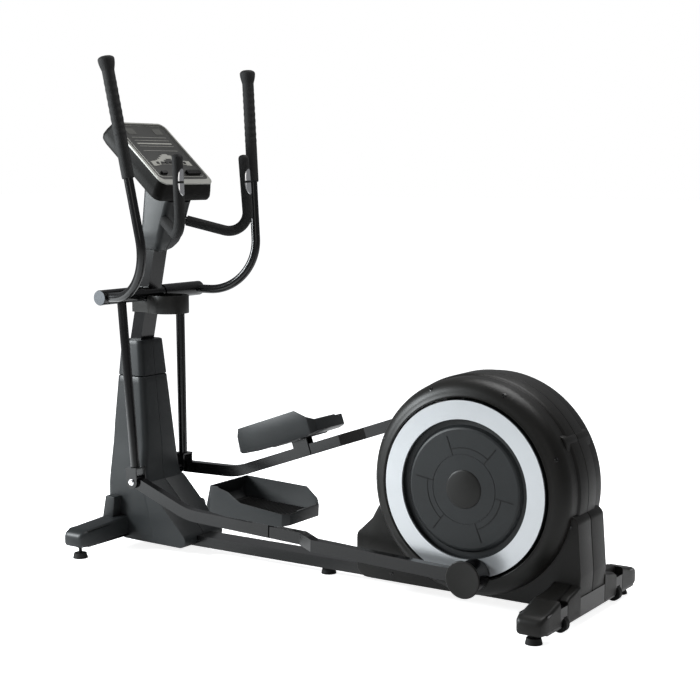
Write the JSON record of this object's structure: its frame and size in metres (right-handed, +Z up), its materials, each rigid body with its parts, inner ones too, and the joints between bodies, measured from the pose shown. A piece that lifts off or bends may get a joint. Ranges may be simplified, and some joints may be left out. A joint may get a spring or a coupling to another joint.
{
  "type": "elliptical trainer",
  "caption": "Rear-drive elliptical trainer: a crank in a round housing drives long foot pedals linked to swinging handles; fixed pulse grips and a tilted console stand on a leaning mast",
  "frame": {"origin": "on the floor, at the middle of the machine's bounding box", "axes": "+X to the rear (drive housing), -X to the console end, +Z up, -Y is the user's left"},
  "size_m": [1.872, 0.7461, 1.7291],
  "materials": {
    "painted_steel": "satin",
    "dark_plastic": "fine texture",
    "face_plastic": "satin",
    "slate_plastic": "fine texture",
    "silver_plastic": "satin",
    "silver_trim": "brushed",
    "pale_plastic": "satin",
    "rubber": "matt",
    "foam": "matt foam",
    "chrome": "polished",
    "steel": "turned",
    "cast_iron": "cast"
  },
  "bodies": {
    "frame": {"base_beam": "painted_steel", "front_stabilizer": "painted_steel", "rear_stabilizer": "painted_steel", "stabilizer_caps": "dark_plastic", "levelling_feet": "rubber", "front_post": "painted_steel", "mast": "painted_steel", "pivot_shaft": "steel", "tower_left_shell": "slate_plastic", "tower_right_shell": "slate_plastic", "tower_cap": "dark_plastic", "neck_left_cover": "slate_plastic", "neck_right_cover": "slate_plastic", "bottle_holder": "dark_plastic", "console_back": "dark_plastic", "console_bezel": "silver_plastic", "console_face": "face_plastic", "fixed_handlebar": "painted_steel", "left_bar_foam": "foam", "right_bar_foam": "foam", "pulse_plates": "chrome", "housing_left_shell": "dark_plastic", "housing_right_shell": "dark_plastic", "drive_frame": "painted_steel", "crank_bearings": "steel", "drive_belt": "rubber", "brake_magnets": "steel", "flywheel_shaft": "steel", "shell_screws": "painted_steel"},
    "crank": {"crank_axle": "steel", "crank_arms": "painted_steel", "drive_pulley": "dark_plastic", "left_disc": "slate_plastic", "right_disc": "slate_plastic", "left_ring": "silver_trim", "right_ring": "silver_trim", "hub_caps": "dark_plastic"},
    "flywheel_rotor": {"flywheel": "cast_iron"},
    "left_roller": {"left_wheel": "rubber"},
    "right_roller": {"right_wheel": "rubber"},
    "left_handle_arm": {"left_swing_arm": "painted_steel", "left_sleeve_bushes": "steel", "left_sleeve_cap": "pale_plastic", "left_handle_tube": "painted_steel", "left_grip": "foam", "left_link_bolt": "chrome"},
    "left_foot_arm": {"left_pedal_arm": "painted_steel", "left_pedal": "slate_plastic", "left_crank_cap": "dark_plastic", "left_crank_pin": "steel"},
    "right_handle_arm": {"right_swing_arm": "painted_steel", "right_sleeve_bushes": "steel", "right_sleeve_cap": "pale_plastic", "right_handle_tube": "painted_steel", "right_grip": "foam", "right_link_bolt": "chrome"},
    "right_foot_arm": {"right_pedal_arm": "painted_steel", "right_pedal": "slate_plastic", "right_crank_cap": "dark_plastic", "right_crank_pin": "steel"}
  },
  "joints": [
    {"name": "left_swing", "type": "hinge", "parent": "frame", "child": "left_handle_arm", "pos_m": [-0.8036, 0, 0.916], "axis": [0, -1, 0], "range_deg": [-23.1, 18.7]},
    {"name": "left_foot", "type": "hinge", "parent": "left_handle_arm", "child": "left_foot_arm", "pos_m": [-0.74744, 0, 0.26241], "axis": [0, -1, 0], "range_deg": [-18.7, 23.1]},
    {"name": "right_swing", "type": "hinge", "parent": "frame", "child": "right_handle_arm", "pos_m": [-0.8036, 0, 0.916], "axis": [0, -1, 0], "range_deg": [-18.7, 23.1]},
    {"name": "right_foot", "type": "hinge", "parent": "right_handle_arm", "child": "right_foot_arm", "pos_m": [-0.79807, 0, 0.26002], "axis": [0, -1, 0], "range_deg": [-23.1, 18.7]},
    {"name": "crank_turn", "type": "hinge", "parent": "frame", "child": "crank", "pos_m": [0.56, 0, 0.385], "axis": [0, -1, 0], "continuous": true},
    {"name": "flywheel_turn", "type": "hinge", "parent": "frame", "child": "flywheel_rotor", "pos_m": [0.795, 0, 0.196], "axis": [0, -1, 0], "continuous": true},
    {"name": "left_wheel_turn", "type": "hinge", "parent": "frame", "child": "left_roller", "pos_m": [0.911, -0.195, 0.034], "axis": [0, -1, 0], "continuous": true},
    {"name": "right_wheel_turn", "type": "hinge", "parent": "frame", "child": "right_roller", "pos_m": [0.911, 0.195, 0.034], "axis": [0, -1, 0], "continuous": true}
  ],
  "couplings": [
    {"joint": "left_foot", "follows": "left_swing", "ratio": -1},
    {"joint": "right_swing", "follows": "left_swing", "ratio": -1},
    {"joint": "right_foot", "follows": "left_swing", "ratio": 1},
    {"joint": "flywheel_turn", "follows": "crank_turn", "ratio": 6}
  ]
}
